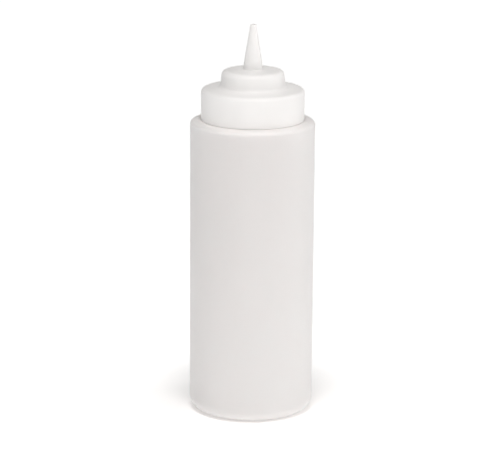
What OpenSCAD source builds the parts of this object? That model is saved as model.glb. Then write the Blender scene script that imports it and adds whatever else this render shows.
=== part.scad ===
// Wide-mouth squeeze bottle for sauces: a blow-moulded bottle, a seal ring
// and a one-piece stepped screw cap that ends in a slim dispensing nozzle.
// Millimetres. +Z is up, the origin is the centre of the base on the table.

/* [Bottle] */
// Outside diameter of the straight barrel
barrel_d = 82.8; // [80:0.1:90]
// Height of the corner where the barrel meets the shoulder
barrel_h = 196.8; // [120:0.1:240]
// Radius of the heel between base and barrel
heel_r = 8.6; // [5:0.1:12]
// Radius of the corner between barrel and shoulder
shoulder_corner_r = 2.5; // [2:0.1:3.5]
// Height that the shoulder cone climbs from the barrel to the ledge
shoulder_rise = 1.1; // [1:0.1:6]
// Outside diameter of the flat ledge under the cap
ledge_d = 72.8; // [70:0.2:74]
// Thickness of the moulded wall
bottle_wall = 1.2; // [0.8:0.1:1.8]
// Height of the push-up in the middle of the base
push_up = 3.4; // [2:0.1:5]

/* [Neck] */
// Outside diameter of the neck between its threads
neck_d = 60.5; // [59.5:0.1:61]
// Outside diameter over the neck's thread
thread_d = 63; // [62.5:0.1:63.2]
// Thickness of the neck's wall
neck_wall = 1.5; // [1.2:0.1:2]
// Height of the neck from the ledge to the sealing lip
neck_h = 18.1; // [16.8:0.1:22]
// Climb of the thread in one turn
thread_pitch = 4.233; // [3.6:0.001:4.6]
// Number of turns of thread on the neck
thread_turns = 1.5; // [1:0.25:2]

/* [Cap] */
// Outside diameter of the skirt
skirt_d = 68.3; // [67:0.1:70]
// Outside diameter of the raised step at its foot
step_d = 42.8; // [30:0.1:46]
// Height of the raised step's edge above the skirt's edge
step_h = 12.4; // [10:0.1:18]
// Rounding of the skirt's upper edge
deck_edge_r = 2.75; // [1:0.05:3.2]
// Rounding of the step's upper edge
step_edge_r = 3.9; // [2.2:0.1:4.5]
// Height that the lower deck climbs from its edge to the foot of the step
crown_h = 1.4; // [0.6:0.1:1.6]
// Thickness of the cap's decks and step
cap_wall = 1.5; // [1.2:0.1:2]

/* [Nozzle] */
// Outside diameter of the nozzle's foot
nozzle_d = 12.5; // [11:0.1:15]
// Height of the nozzle's tip above the step's edge
nozzle_h = 30.3; // [20:0.1:45]
// Height of the nozzle's upright foot above the step's edge
foot_h = 4.6; // [4.4:0.1:6]
// Outside diameter of the nozzle's tip
tip_d = 4.1; // [3.8:0.1:6]
// Diameter of the hole in the tip
orifice_d = 2.5; // [1.6:0.1:2.8]
// Length of the straight hole in the tip
orifice_h = 3; // [2:0.1:5]

/* [Hidden] */
$fn = 96;

// Steps in each rounded corner of an outline, and in one turn of a thread
corner_steps = 6;
thread_steps = 48;

// Base: flat ring that the bottle stands on, the raised panel inside it, and its roundings
ring_inner_r = 28.6;
panel_r = 23;
ring_edge_r = 1.2;
panel_edge_r = 2;
seam_l = 40;
seam_w = 1.4;
seam_drop = 0.5;

// Shoulder and neck: the ledge, the lip, the cone's slope, and the roundings
barrel_r = barrel_d / 2;
neck_r = neck_d / 2;
bore_r = neck_r - neck_wall;
ledge_r = ledge_d / 2;
ledge_z = barrel_h + shoulder_rise;
lip_z = ledge_z + neck_h;
cone_slope = atan2(shoulder_rise, barrel_r - ledge_r);
ledge_edge_r = 1.2;
neck_foot_r = 0.8;
neck_inner_foot_r = 1.5;
lip_edge_r = 0.35;

// Cap: clearances to the neck, heights of its edges, the roundings of its rim and feet,
// and how far the step tapers and its deck climbs to the nozzle
rim_gap = 0.05;
rim_edge_r = 0.3;
step_draft = 0.75;
step_foot_r = 3;
step_crown_h = 0.5;
nozzle_foot_r = 0.8;
seat_w = 3.5;
gasket_h = 1;
thread_r = thread_d / 2;
skirt_root_r = thread_r + 0.5;
skirt_crest_r = neck_r + 0.4;
rim_z = ledge_z + rim_gap;
seal_z = lip_z + gasket_h;
deck_z = seal_z + cap_wall;
step_r = step_d / 2;
step_z = deck_z + step_h;
nozzle_r = nozzle_d / 2;
nozzle_bore_r = nozzle_r - 1.6;
tip_z = step_z + nozzle_h;
orifice_z = tip_z - orifice_h;

// Thread: half its height at the middle of the engaged depth, and the flanks' slope
thread_half = thread_pitch / 5;
flank_slope = tan(30);
engaged_r = (skirt_crest_r + thread_r) / 2;
flank_gap = 0.2;
lead_in = 0.1;
neck_thread_z = lip_z - 2.4 - thread_turns * thread_pitch;
cap_thread_z = neck_thread_z - 2 * thread_half - flank_gap + lead_in * thread_pitch;

// An outline from its corners, each [radius, height, rounding]. A rounding of 0 stays sharp.
function unit(v) = v / norm(v);
function turn(u, v) = u.x * v.y - u.y * v.x > 0 ? 1 : -1;
function point(corner) = [corner.x, corner.y];
function rounded_corner(before, at, after, r) =
    let (u = unit(before - at))
    let (v = unit(after - at))
    let (half = acos(u * v) / 2)
    let (middle = at + unit(u + v) * r / sin(half))
    let (first = at + u * r / tan(half) - middle)
    let (first_angle = atan2(first.y, first.x))
    let (sweep = turn(-u, v) * (180 - 2 * half))
    [
        for (i = [0 : corner_steps])
            let (a = first_angle + sweep * i / corner_steps)
            middle + r * [cos(a), sin(a)]
    ];
function outline(corners) =
    let (n = len(corners))
    [
        for (i = [0 : n - 1])
            let (at = point(corners[i]))
            let (before = point(corners[(i + n - 1) % n]))
            let (after = point(corners[(i + 1) % n]))
            let (r = corners[i].z)
            each r == 0 ? [at] : rounded_corner(before, at, after, r)
    ];

// Half the thread's height at a radius. side is 1 for the neck's thread and -1 for the cap's.
function half_height(r, side) = thread_half + side * (engaged_r - r) * flank_slope;

// One cross-section of a thread, set at an angle and a height
function thread_section(base_r, crest_r, side, angle, z) =
    [
        for (corner = [[base_r, -1], [crest_r, -1], [crest_r, 1], [base_r, 1]])
            let (r = corner.x)
            [r * cos(angle), r * sin(angle), z + corner.y * half_height(r, side)]
    ];

// A right-hand thread that stands out of its wall. Both its ends run down into the wall.
module thread(root_r, crest_r, turns, start_z, start_angle) {
    side = crest_r > root_r ? 1 : -1;
    base_r = root_r - 0.6 * side;
    sunk_r = root_r - 0.15 * side;
    last = round(turns * thread_steps);
    points = [
        for (i = [0 : last])
            let (end = i == 0 || i == last)
            let (angle = start_angle + 360 * i / thread_steps)
            each thread_section(base_r, end ? sunk_r : crest_r, side, angle,
                start_z + thread_pitch * i / thread_steps)
    ];
    sides = [
        for (i = [0 : last - 1])
            for (k = [0 : 3])
                let (a = 4 * i + k)
                let (b = 4 * i + (k + 1) % 4)
                each side == 1 ? [[a, b, a + 4], [b, b + 4, a + 4]]
                               : [[a, a + 4, b], [b, a + 4, b + 4]]
    ];
    ends = side == 1 ? [[3, 2, 1, 0], [4 * last, 4 * last + 1, 4 * last + 2, 4 * last + 3]]
                     : [[0, 1, 2, 3], [4 * last + 3, 4 * last + 2, 4 * last + 1, 4 * last]];
    polyhedron(points, concat(sides, ends));
}

// Blow-moulded bottle: one wall from the raised base panel to the sealing lip and back
module bottle() {
    inner_r = barrel_r - bottle_wall;
    inner_heel_r = heel_r - bottle_wall;
    outer = [
        [0, push_up, 0],
        [panel_r, push_up, panel_edge_r],
        [ring_inner_r, 0, ring_edge_r],
        [barrel_r, 0, heel_r],
        [barrel_r, barrel_h, shoulder_corner_r],
        [ledge_r, ledge_z, ledge_edge_r],
        [neck_r, ledge_z, neck_foot_r],
        [neck_r, lip_z, lip_edge_r]
    ];
    inner = [
        [bore_r, lip_z, lip_edge_r],
        [bore_r, ledge_z - bottle_wall, neck_inner_foot_r],
        [ledge_r - bottle_wall * tan(cone_slope / 2), ledge_z - bottle_wall, ledge_edge_r],
        [inner_r, barrel_h - bottle_wall * tan(45 - cone_slope / 2),
            shoulder_corner_r - bottle_wall],
        [inner_r, bottle_wall, inner_heel_r],
        [ring_inner_r - 0.4, bottle_wall, ring_edge_r],
        [panel_r - 0.4, push_up + bottle_wall, ring_edge_r],
        [0, push_up + bottle_wall, 0]
    ];
    color([0.89, 0.89, 0.87]) union() {
        rotate_extrude() polygon(outline(concat(outer, inner)));
        thread(neck_r, thread_r, thread_turns, neck_thread_z, 0);
        translate([-seam_l / 2, -seam_w / 2, push_up - seam_drop])
            cube([seam_l, seam_w, seam_drop + bottle_wall / 2]);
    }
}

// Soft seal ring that the cap presses on the bottle's lip
module gasket() {
    section = [
        [bore_r + 0.1, lip_z, 0.15],
        [thread_r - 0.1, lip_z, 0.15],
        [thread_r - 0.1, seal_z, 0.15],
        [bore_r + 0.1, seal_z, 0.15]
    ];
    color([0.93, 0.92, 0.88]) rotate_extrude() polygon(outline(section));
}

// One-piece screw cap: threaded skirt, lower deck, raised step and nozzle
module cap() {
    cone_foot_z = step_z + foot_h;
    outer = [
        [skirt_root_r, rim_z, rim_edge_r],
        [skirt_d / 2, rim_z, rim_edge_r],
        [skirt_d / 2, deck_z, deck_edge_r],
        [step_r, deck_z + crown_h, step_foot_r],
        [step_r - step_draft, step_z, step_edge_r],
        [nozzle_r, step_z + step_crown_h, nozzle_foot_r],
        [nozzle_r - 0.12, cone_foot_z, 3],
        [tip_d / 2, tip_z, lip_edge_r]
    ];
    inner = [
        [orifice_d / 2, tip_z, 0],
        [orifice_d / 2, orifice_z, 0],
        [nozzle_bore_r, cone_foot_z, 3],
        [nozzle_bore_r, step_z + step_crown_h - cap_wall, 0.8],
        [step_r - step_draft - cap_wall, step_z - cap_wall, step_edge_r - cap_wall],
        [step_r - cap_wall, deck_z + crown_h - cap_wall, 1.5],
        [skirt_root_r - seat_w, seal_z, 1],
        [skirt_root_r, seal_z, 0.4]
    ];
    color([0.97, 0.965, 0.955]) union() {
        rotate_extrude() polygon(outline(concat(outer, inner)));
        thread(skirt_root_r, skirt_crest_r, thread_turns - lead_in, cap_thread_z, 360 * lead_in);
    }
}

bottle();
gasket();
cap();
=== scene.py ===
"""Looks for the wide-mouth squeeze bottle: its finished meshes, materials, light and camera.

Metres throughout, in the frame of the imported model: +Z up, origin at the centre of the base.
"""
import math

import bpy
import numpy as np
from mathutils import Matrix, Vector


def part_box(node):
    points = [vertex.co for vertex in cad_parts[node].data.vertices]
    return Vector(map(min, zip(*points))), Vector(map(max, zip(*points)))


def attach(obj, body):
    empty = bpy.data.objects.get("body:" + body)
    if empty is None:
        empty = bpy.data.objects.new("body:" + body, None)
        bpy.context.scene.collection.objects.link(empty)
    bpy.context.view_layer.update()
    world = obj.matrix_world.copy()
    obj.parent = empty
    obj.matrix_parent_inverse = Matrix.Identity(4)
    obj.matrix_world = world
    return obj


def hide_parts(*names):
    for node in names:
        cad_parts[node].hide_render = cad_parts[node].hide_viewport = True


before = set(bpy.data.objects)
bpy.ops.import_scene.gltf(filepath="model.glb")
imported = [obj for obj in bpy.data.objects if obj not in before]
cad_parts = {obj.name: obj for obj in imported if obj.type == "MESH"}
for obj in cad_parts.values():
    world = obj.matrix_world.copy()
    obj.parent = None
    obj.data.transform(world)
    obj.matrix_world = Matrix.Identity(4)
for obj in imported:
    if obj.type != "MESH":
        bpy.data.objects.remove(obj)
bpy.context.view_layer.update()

MM = 0.001
TAU = 2 * math.pi

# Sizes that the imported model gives
_, bottle_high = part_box("bottle")
gasket_low, gasket_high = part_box("gasket")
cap_low, cap_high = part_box("cap")
barrel_r = bottle_high.x
lip_z = bottle_high.z
seal_z = gasket_high.z
rim_z = cap_low.z
tip_z = cap_high.z
skirt_r = cap_high.x

# Bottle: sizes that repeat the design's own, where a box can't give them
wall = 1.2 * MM
heel_r = 8.6 * MM
shoulder_z = 196.8 * MM
shoulder_corner_r = 2.5 * MM
ledge_z = 197.9 * MM
ledge_r = 36.4 * MM
ledge_edge_r = 1.2 * MM
push_up = 3.4 * MM
panel_r = 23 * MM
panel_edge_r = 2 * MM
ring_inner_r = 28.6 * MM
ring_edge_r = 1.2 * MM
inner_panel_gap = 0.4 * MM
inner_ledge_gap = 0.13 * MM
inner_shoulder_drop = 0.97 * MM
neck_r = 30.25 * MM
neck_foot_r = 0.8 * MM
neck_inner_foot_r = 1.5 * MM
bore_r = 28.75 * MM
lip_edge_r = 0.35 * MM

# Threads: their radii and pitch, the gap between flanks, and by what part of a turn the cap's starts later
thread_r = 31.5 * MM
skirt_root_r = 32.0 * MM
skirt_crest_r = 30.65 * MM
pitch = 4.233 * MM
thread_turns = 1.5
thread_half = pitch / 5
flank_gap = 0.2 * MM
lead_in = 0.1
neck_thread_z = lip_z - 2.4 * MM - thread_turns * pitch
cap_thread_z = neck_thread_z - 2 * thread_half - flank_gap + lead_in * pitch

# Cap
deck_z = 218.5 * MM
deck_edge_r = 2.75 * MM
step_foot_z = 219.9 * MM
step_foot_r = 3 * MM
step_r = 21.4 * MM
step_z = 230.9 * MM
step_draft = 0.75 * MM
step_edge_r = 3.9 * MM
nozzle_foot_z = 231.4 * MM
nozzle_foot_r = 0.8 * MM
nozzle_r = 6.25 * MM
nozzle_bore_r = 4.65 * MM
cone_foot_z = 235.5 * MM
cone_foot_r = 3 * MM
tip_r = 2.05 * MM
orifice_r = 1.25 * MM
orifice_z = 258.2 * MM
cap_wall = 1.5 * MM
seat_w = 3.5 * MM
rim_edge_r = 0.3 * MM


# ---- Outlines ---------------------------------------------------------------------------------

def rounded(corners, steps=14):
    """Points along an outline of corners (radius, height, rounding), with each corner as an arc."""
    points = []
    for i, (x, z, r) in enumerate(corners):
        at = np.array((x, z))
        if r == 0 or i in (0, len(corners) - 1):
            points.append(at)
            continue
        before = np.array(corners[i - 1][:2])
        after = np.array(corners[i + 1][:2])
        u = (before - at) / np.linalg.norm(before - at)
        v = (after - at) / np.linalg.norm(after - at)
        half = math.acos(np.clip(u @ v, -1, 1)) / 2
        middle = at + (u + v) / np.linalg.norm(u + v) * r / math.sin(half)
        first = at + u * r / math.tan(half) - middle
        start = math.atan2(first[1], first[0])
        turn = 1 if -u[0] * v[1] + u[1] * v[0] > 0 else -1
        for k in range(steps + 1):
            a = start + turn * (math.pi - 2 * half) * k / steps
            points.append(middle + r * np.array((math.cos(a), math.sin(a))))
    return points


def divided(points, longest):
    """The same outline with no step longer than longest(radius, height)."""
    out = [points[0]]
    for a, b in zip(points, points[1:]):
        gap = np.linalg.norm(b - a)
        n = max(1, math.ceil(gap / longest(*((a + b) / 2))))
        out += [a + (b - a) * k / n for k in range(1, n + 1)]
    return np.array(out)


def smooth(t):
    """0 to 1 with a soft start and end."""
    t = np.clip(t, 0, 1)
    return t * t * (3 - 2 * t)


# ---- Surfaces of revolution with relief -------------------------------------------------------

def turning_angles(count, fine_at=(), fine_width=0.0):
    """Angles of a full turn, with extra ones close to each angle in fine_at."""
    angles = set(np.round(np.arange(count) * TAU / count, 9))
    for centre in fine_at:
        for k in range(-8, 9):
            angles.add(round((centre + fine_width * k / 4) % TAU, 9))
    return np.array(sorted(angles))


def lathe(name, outline, angles, relief=None, closed=False):
    """A mesh turned from an outline. relief(r, z, angle) gives the finished r and z of every point.
    An open outline starts and ends on the axis. A closed one is a ring all round."""
    r = np.repeat(outline[:, :1], len(angles), axis=1)
    z = np.repeat(outline[:, 1:], len(angles), axis=1)
    a = np.repeat(angles[None, :], len(outline), axis=0)
    if relief:
        r, z = relief(r, z, a)
    points = np.stack((r * np.cos(a), r * np.sin(a), z), axis=-1)
    rows, columns = r.shape
    poles = [] if closed else [0, rows - 1]
    ring_rows = [i for i in range(rows) if i not in poles]
    vertices = points[ring_rows].reshape(-1, 3).tolist()
    faces = []
    pairs = list(zip(range(len(ring_rows) - 1), range(1, len(ring_rows))))
    if closed:
        pairs.append((len(ring_rows) - 1, 0))
    for low, high in pairs:
        for k in range(columns):
            n = (k + 1) % columns
            faces.append((low * columns + k, low * columns + n, high * columns + n, high * columns + k))
    for pole in poles:
        ring = 0 if pole == 0 else len(ring_rows) - 1
        centre = len(vertices)
        vertices.append((0.0, 0.0, float(z[pole].mean())))
        for k in range(columns):
            edge = (ring * columns + k, ring * columns + (k + 1) % columns)
            faces.append((centre, edge[1], edge[0]) if pole == 0 else (centre, edge[0], edge[1]))
    mesh = bpy.data.meshes.new(name)
    mesh.from_pydata(vertices, [], faces)
    mesh.validate()
    mesh.polygons.foreach_set("use_smooth", [True] * len(mesh.polygons))
    piece = bpy.data.objects.new(name, mesh)
    bpy.context.scene.collection.objects.link(piece)
    return piece


def thread_relief(r, z, a, root_r, crest_r, start_z, turns, start_angle):
    """Radius of a wall that carries a right-hand thread, with a ramp at each of its ends."""
    side = 1 if crest_r > root_r else -1
    depth = abs(crest_r - root_r)
    flank = math.tan(math.radians(30))
    half_crest = thread_half - depth / 2 * flank
    half_root = thread_half + depth / 2 * flank
    height = np.zeros_like(r)
    for wrap in range(-1, math.ceil(turns) + 2):
        t = (a - start_angle) / TAU + wrap
        away = np.abs(z - (start_z + pitch * t))
        rise = smooth((half_root + 0.1 * MM - away) / (half_root - half_crest + 0.1 * MM))
        ramp = smooth(t / 0.05) * smooth((turns - t) / 0.05)
        height = np.maximum(height, rise * ramp)
    return r + side * depth * height


# ---- Bottle -----------------------------------------------------------------------------------

# Parting seam down both sides, the soft wall's pull-in, and the pinched seam under the base
SEAM_HEIGHT = 0.10 * MM
SEAM_WIDTH = 0.35 * MM
SWAY = 0.16 * MM
PINCH_LENGTH = 41 * MM
PINCH_WIDTH = 1.5 * MM
PINCH_DROP = 0.5 * MM
PINCH_RISE_INSIDE = 0.3 * MM


def sway(z, a):
    """How far the soft wall has pulled in from a true cylinder as it cooled, from 0 to 1."""
    lobes = ((2, 11.0, 0.4), (3, 17.0, 2.1), (5, 29.0, 4.0), (7, 9.0, 5.2))
    total = sum(math.cos(phase) * np.cos(n * a + phase) * np.cos(k * z + 2 * phase) for n, k, phase in lobes)
    return 0.5 + total / (2 * len(lobes))


def bottle_relief(r, z, a):
    """The soft wall's pull-in, the parting seam, the neck's thread and the base's pinched seam."""
    rows = np.arange(r.shape[0])[:, None]
    outside = rows <= lip_row
    on_barrel = smooth((z - 0.4 * heel_r) / (2 * heel_r)) * smooth((shoulder_z - z) / (14 * MM))
    on_wall = np.where(r > ring_inner_r, 1.0, 0.0)
    r = r - on_wall * on_barrel * SWAY * sway(z, a)
    across = np.abs(np.sin(a)) * r
    ridge = np.exp(-(across / SEAM_WIDTH) ** 2)
    body_outside = outside & (r > neck_r + 2 * MM)
    r = np.where(body_outside, r + SEAM_HEIGHT * (ridge - 1) * smooth(z / heel_r), r)
    on_neck = outside & (r < neck_r + 0.6 * MM) & (z > ledge_z + 1.5 * MM) & (z < lip_z - 0.6 * MM)
    threaded = thread_relief(r, z, a, neck_r, thread_r, neck_thread_z, thread_turns, 0.0)
    r = np.where(on_neck, threaded, r)
    x, y = r * np.cos(a), r * np.sin(a)
    along = smooth((PINCH_LENGTH / 2 - np.abs(x)) / PINCH_WIDTH)
    pinch = along * np.exp(-(y / (PINCH_WIDTH / 2)) ** 4)
    under = outside & (z < push_up + 0.1 * MM) & (r < panel_r)
    z = np.where(under, z - PINCH_DROP * pinch, z)
    inside_floor = ~outside & (z < push_up + wall + 0.1 * MM) & (r < panel_r)
    z = np.where(inside_floor, z + PINCH_RISE_INSIDE * pinch, z)
    return r, z


def bottle_outline():
    """From the middle of the base, up the outside to the lip, and back down the inside."""
    outer = [
        (0, push_up, 0),
        (panel_r, push_up, panel_edge_r),
        (ring_inner_r, 0, ring_edge_r),
        (barrel_r, 0, heel_r),
        (barrel_r, shoulder_z, shoulder_corner_r),
        (ledge_r, ledge_z, ledge_edge_r),
        (neck_r, ledge_z, neck_foot_r),
        (neck_r, lip_z, lip_edge_r),
    ]
    inner = [
        (bore_r, lip_z, lip_edge_r),
        (bore_r, ledge_z - wall, neck_inner_foot_r),
        (ledge_r - inner_ledge_gap, ledge_z - wall, ledge_edge_r),
        (barrel_r - wall, shoulder_z - inner_shoulder_drop, shoulder_corner_r - wall),
        (barrel_r - wall, wall, heel_r - wall),
        (ring_inner_r - inner_panel_gap, wall, ring_edge_r),
        (panel_r - inner_panel_gap, push_up + wall, ring_edge_r),
        (0, push_up + wall, 0),
    ]

    def longest(r, z):
        if z > ledge_z and r > bore_r + 0.1 * MM:
            return 0.22 * MM
        if z < 12 * MM:
            return 1.2 * MM
        return 4 * MM

    return divided(rounded(outer + inner, 10), longest)


# ---- Cap --------------------------------------------------------------------------------------

def cap_relief(r, z, a):
    """The thread on the inside of the skirt."""
    on_skirt_wall = (np.abs(r - skirt_root_r) < 0.2 * MM) & (z > rim_z + 0.6 * MM) & (z < seal_z - 0.5 * MM)
    turns = thread_turns - lead_in
    threaded = thread_relief(r, z, a, skirt_root_r, skirt_crest_r, cap_thread_z, turns, TAU * lead_in)
    return np.where(on_skirt_wall, threaded, r), z


def cap_outline():
    """From the middle of the rim, up the outside to the tip, down the inside and back to the rim."""
    middle_r = skirt_root_r + 1 * MM
    outer = [
        (middle_r, rim_z, 0),
        (skirt_r, rim_z, rim_edge_r),
        (skirt_r, deck_z, deck_edge_r),
        (step_r, step_foot_z, step_foot_r),
        (step_r - step_draft, step_z, step_edge_r),
        (nozzle_r, nozzle_foot_z, nozzle_foot_r),
        (nozzle_r - 0.12 * MM, cone_foot_z, cone_foot_r),
        (tip_r, tip_z, lip_edge_r),
    ]
    inner = [
        (orifice_r, tip_z, 0.12 * MM),
        (orifice_r, orifice_z, 0.6 * MM),
        (nozzle_bore_r, cone_foot_z, cone_foot_r),
        (nozzle_bore_r, nozzle_foot_z - cap_wall, 0.8 * MM),
        (step_r - step_draft - cap_wall, step_z - cap_wall, step_edge_r - cap_wall),
        (step_r - cap_wall, step_foot_z - cap_wall, 1.5 * MM),
        (skirt_root_r - seat_w, seal_z, 1 * MM),
        (skirt_root_r, seal_z, 0.4 * MM),
        (skirt_root_r, rim_z, rim_edge_r),
        (middle_r, rim_z, 0),
    ]

    def longest(r, z):
        if r < skirt_root_r + 0.2 * MM and r > skirt_root_r - 0.2 * MM:
            return 0.2 * MM
        return 1.2 * MM

    return divided(rounded(outer + inner), longest)[:-1]


# ---- Gasket -----------------------------------------------------------------------------------

def gasket_outline():
    low, high = gasket_low.z, gasket_high.z
    inner_r = bore_r + 0.1 * MM
    outer_r = gasket_high.x
    middle = (inner_r + outer_r) / 2
    edge_r = 0.15 * MM
    corners = [
        (inner_r, (low + high) / 2, 0),
        (inner_r, low, edge_r),
        (middle, low, 0),
        (outer_r, low, edge_r),
        (outer_r, high, edge_r),
        (middle, high, 0),
        (inner_r, high, edge_r),
        (inner_r, (low + high) / 2, 0),
    ]
    return divided(rounded(corners, 6), lambda r, z: 0.4 * MM)[:-1]


# ---- Materials --------------------------------------------------------------------------------

class Nodes:
    """Short calls for building one material's nodes."""

    def __init__(self, name):
        self.material = bpy.data.materials.new(name)
        self.material.use_nodes = True
        self.tree = self.material.node_tree
        self.shader = self.tree.nodes["Principled BSDF"]
        self.place = self.add("ShaderNodeTexCoord").outputs["Object"]

    def add(self, kind, **settings):
        node = self.tree.nodes.new(kind)
        for key, value in settings.items():
            setattr(node, key, value)
        return node

    def link(self, out, into):
        self.tree.links.new(out, into)

    def stretched(self, scale):
        node = self.add("ShaderNodeMapping")
        node.inputs["Scale"].default_value = scale
        self.link(self.place, node.inputs["Vector"])
        return node.outputs["Vector"]

    def noise(self, scale, detail=2.0, roughness=0.5):
        """Noise of a feature size given as features per metre, as a number or one per axis."""
        scale = (scale, scale, scale) if isinstance(scale, (int, float)) else scale
        node = self.add("ShaderNodeTexNoise")
        node.inputs["Scale"].default_value = 1.0
        node.inputs["Detail"].default_value = detail
        node.inputs["Roughness"].default_value = roughness
        self.link(self.stretched(scale), node.inputs["Vector"])
        return node.outputs["Fac"]

    def ramp(self, value, low, high, out_low, out_high):
        node = self.add("ShaderNodeMapRange")
        for key, number in (("From Min", low), ("From Max", high), ("To Min", out_low), ("To Max", out_high)):
            node.inputs[key].default_value = number
        self.link(value, node.inputs["Value"])
        return node.outputs["Result"]

    def mix(self, factor, a, b):
        node = self.add("ShaderNodeMix", data_type="RGBA")
        node.inputs["A"].default_value = (*a, 1)
        node.inputs["B"].default_value = (*b, 1)
        self.link(factor, node.inputs["Factor"])
        return node.outputs["Result"]

    def bump(self, height, distance, below=None):
        node = self.add("ShaderNodeBump")
        node.inputs["Distance"].default_value = distance
        self.link(height, node.inputs["Height"])
        if below:
            self.link(below, node.inputs["Normal"])
        return node.outputs["Normal"]

    def set(self, **inputs):
        for key, value in inputs.items():
            socket = self.shader.inputs[key.replace("_", " ")]
            if isinstance(value, bpy.types.NodeSocket):
                self.link(value, socket)
            else:
                socket.default_value = value


def bottle_plastic():
    """Natural low-density polyethylene: milky, soft satin, a little light passes the wall."""
    n = Nodes("bottle_plastic")
    clouds = n.noise((16, 16, 7), detail=3)
    lines = n.noise((420, 420, 5), detail=3, roughness=0.6)
    grain = n.noise(2600, detail=2)
    scuffs = n.noise((90, 90, 30), detail=5, roughness=0.7)
    colour = n.mix(n.ramp(clouds, 0.35, 0.65, 0, 1), (0.93, 0.885, 0.865), (0.96, 0.915, 0.895))
    # Light spreads less where the wall is thicker: near the base, and at the neck and its shoulder
    height = n.add("ShaderNodeSeparateXYZ")
    n.link(n.place, height.inputs[0])
    z = height.outputs["Z"]
    spread = n.add("ShaderNodeMath", operation="MULTIPLY")
    n.link(n.ramp(z, 20 * MM, 160 * MM, 3.3 * MM, 4.3 * MM), spread.inputs[0])
    n.link(n.ramp(z, shoulder_z - 4 * MM, shoulder_z + 1 * MM, 1, 0.6), spread.inputs[1])
    relief = n.bump(lines, 0.05 * MM)
    relief = n.bump(grain, 0.02 * MM, relief)
    n.set(
        Base_Color=colour,
        Roughness=n.ramp(scuffs, 0.3, 0.7, 0.34, 0.46),
        IOR=1.51,
        Subsurface_Weight=1.0,
        Subsurface_Radius=(0.94, 1.0, 1.0),
        Subsurface_Scale=spread.outputs["Value"],
        Normal=relief,
    )
    return n.material


def cap_plastic():
    """White injection-moulded polyethylene with a fine satin skin."""
    n = Nodes("cap_plastic")
    clouds = n.noise((30, 30, 30), detail=2)
    grain = n.noise(3200, detail=2)
    scuffs = n.noise((120, 120, 60), detail=5, roughness=0.7)
    colour = n.mix(n.ramp(clouds, 0.35, 0.65, 0, 1), (0.81, 0.805, 0.80), (0.835, 0.83, 0.825))
    n.set(
        Base_Color=colour,
        Roughness=n.ramp(scuffs, 0.3, 0.7, 0.45, 0.55),
        IOR=1.51,
        Subsurface_Weight=1.0,
        Subsurface_Radius=(1.0, 1.0, 1.0),
        Subsurface_Scale=1 * MM,
        Normal=n.bump(grain, 0.015 * MM),
    )
    return n.material


def seal_foam():
    """Fine-celled foam of the seal ring."""
    n = Nodes("seal_foam")
    cells = n.noise(4200, detail=1)
    tint = n.noise(80, detail=2)
    n.set(
        Base_Color=n.mix(tint, (0.80, 0.79, 0.75), (0.86, 0.85, 0.82)),
        Roughness=0.8,
        Normal=n.bump(cells, 0.06 * MM),
    )
    return n.material


# ---- Building the pieces ----------------------------------------------------------------------

def place(piece, node, material):
    """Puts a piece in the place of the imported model's node, on the body of the same name."""
    piece.data.materials.append(material)
    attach(piece, node)
    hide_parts(node)


SIDES = 216
RING_SIDES = 192

shell_outline = bottle_outline()
lip_row = int(np.argmax(shell_outline[:, 1]))
seam_angles = turning_angles(SIDES, fine_at=(0, math.pi), fine_width=SEAM_WIDTH / barrel_r)
shell = lathe("bottle_shell", shell_outline, seam_angles, bottle_relief)
screw_cap = lathe("screw_cap", cap_outline(), turning_angles(SIDES), cap_relief, closed=True)
seal_ring = lathe("seal_ring", gasket_outline(), turning_angles(RING_SIDES), closed=True)
place(shell, "bottle", bottle_plastic())
place(screw_cap, "cap", cap_plastic())
place(seal_ring, "gasket", seal_foam())


# ---- Floor, light and camera ------------------------------------------------------------------

def floor(half=6.0):
    """White paper that reaches a distance of half to each side, and glows with painted light."""
    mesh = bpy.data.meshes.new("floor")
    corners = [(-half, -half, 0), (half, -half, 0), (half, half, 0), (-half, half, 0)]
    mesh.from_pydata(corners, [], [(0, 1, 2, 3)])
    plane = bpy.data.objects.new("floor", mesh)
    bpy.context.scene.collection.objects.link(plane)
    n = Nodes("floor_paper")
    distance = n.add("ShaderNodeVectorMath", operation="LENGTH")
    n.link(n.place, distance.inputs[0])
    # The paper glows with painted light, less so right under the bottle, so that it shows white with a faint
    # shadow that is partly painted shade and partly cast by the lamps
    painted_glow = n.add("ShaderNodeMath", operation="ADD")
    n.link(n.ramp(distance.outputs["Value"], 0.045, 0.11, 0.2, 0.42), painted_glow.inputs[0])
    n.link(n.ramp(distance.outputs["Value"], 0.2, 1.5, 0, 0.28), painted_glow.inputs[1])
    n.set(
        Base_Color=n.mix(n.noise(3), (0.93, 0.93, 0.93), (0.95, 0.95, 0.95)),
        Roughness=0.9,
        Specular_IOR_Level=0.1,
        Emission_Color=(1, 1, 1, 1),
        Emission_Strength=painted_glow.outputs["Value"],
    )
    mesh.materials.append(n.material)


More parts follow.
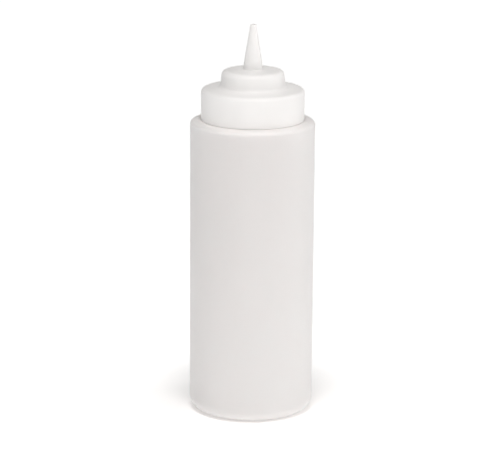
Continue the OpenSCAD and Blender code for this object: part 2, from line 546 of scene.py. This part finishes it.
def softbox(name, azimuth, elevation, power, distance=1.6, side=0.6):
    """A soft square lamp aimed at the bottle. Azimuth 0 is the camera's side, and 90 is the right."""
    lamp_data = bpy.data.lights.new(name, "AREA")
    lamp_data.shape = "SQUARE"
    lamp_data.size = side
    lamp_data.energy = power
    lamp_data.color = (1.0, 0.975, 0.955)
    lamp = bpy.data.objects.new(name, lamp_data)
    bpy.context.scene.collection.objects.link(lamp)
    turned = math.radians(azimuth)
    raised = math.radians(elevation)
    level = math.cos(raised)
    away = Vector((math.sin(turned) * level, -math.cos(turned) * level, math.sin(raised)))
    lamp.location = Vector((0, 0, lip_z / 2 + 0.02)) + away * distance
    lamp.rotation_euler = away.to_track_quat("Z", "Y").to_euler()
    lamp.visible_camera = False


def sky(strength, seen):
    """An even surround. It lights the bottle at one strength, and is seen beyond the floor at another."""
    world = bpy.data.worlds.new("studio")
    bpy.context.scene.world = world
    world.use_nodes = True
    nodes = world.node_tree.nodes
    background = nodes["Background"]
    background.inputs["Color"].default_value = (1.0, 1.0, 1.0, 1)
    level = nodes.new("ShaderNodeMapRange")
    level.inputs["To Min"].default_value = strength
    level.inputs["To Max"].default_value = seen
    path = nodes.new("ShaderNodeLightPath")
    world.node_tree.links.new(path.outputs["Is Camera Ray"], level.inputs["Value"])
    world.node_tree.links.new(level.outputs["Result"], background.inputs["Strength"])


def camera(back, height, tilt, lens, roll, shift):
    """A camera in front of the bottle and a little aside, tilted down and rolled by angles in degrees."""
    data = bpy.data.cameras.new("camera")
    data.lens = lens
    data.sensor_width = 36
    data.clip_start = 0.05
    data.clip_end = 50
    data.dof.use_dof = False
    eye = bpy.data.objects.new("camera", data)
    bpy.context.scene.collection.objects.link(eye)
    stand = Matrix.Translation((shift, -back, height))
    look = Matrix.Rotation(math.radians(90 - tilt), 4, "X")
    eye.matrix_world = stand @ look @ Matrix.Rotation(math.radians(roll), 4, "Z")
    bpy.context.scene.camera = eye


floor()
softbox("overhead", azimuth=0, elevation=70, power=14.5)
softbox("front", azimuth=0, elevation=5, power=5)
softbox("side_low", azimuth=90, elevation=5, power=4.2)
softbox("side_high", azimuth=90, elevation=45, power=1.9)
softbox("left_high", azimuth=-90, elevation=70, power=1)
sky(0.23, seen=1)
camera(back=1.5884, height=0.5314, tilt=14.313, lens=176.95, roll=0.4, shift=-0.0013)
bpy.context.scene.view_settings.view_transform = "Standard"
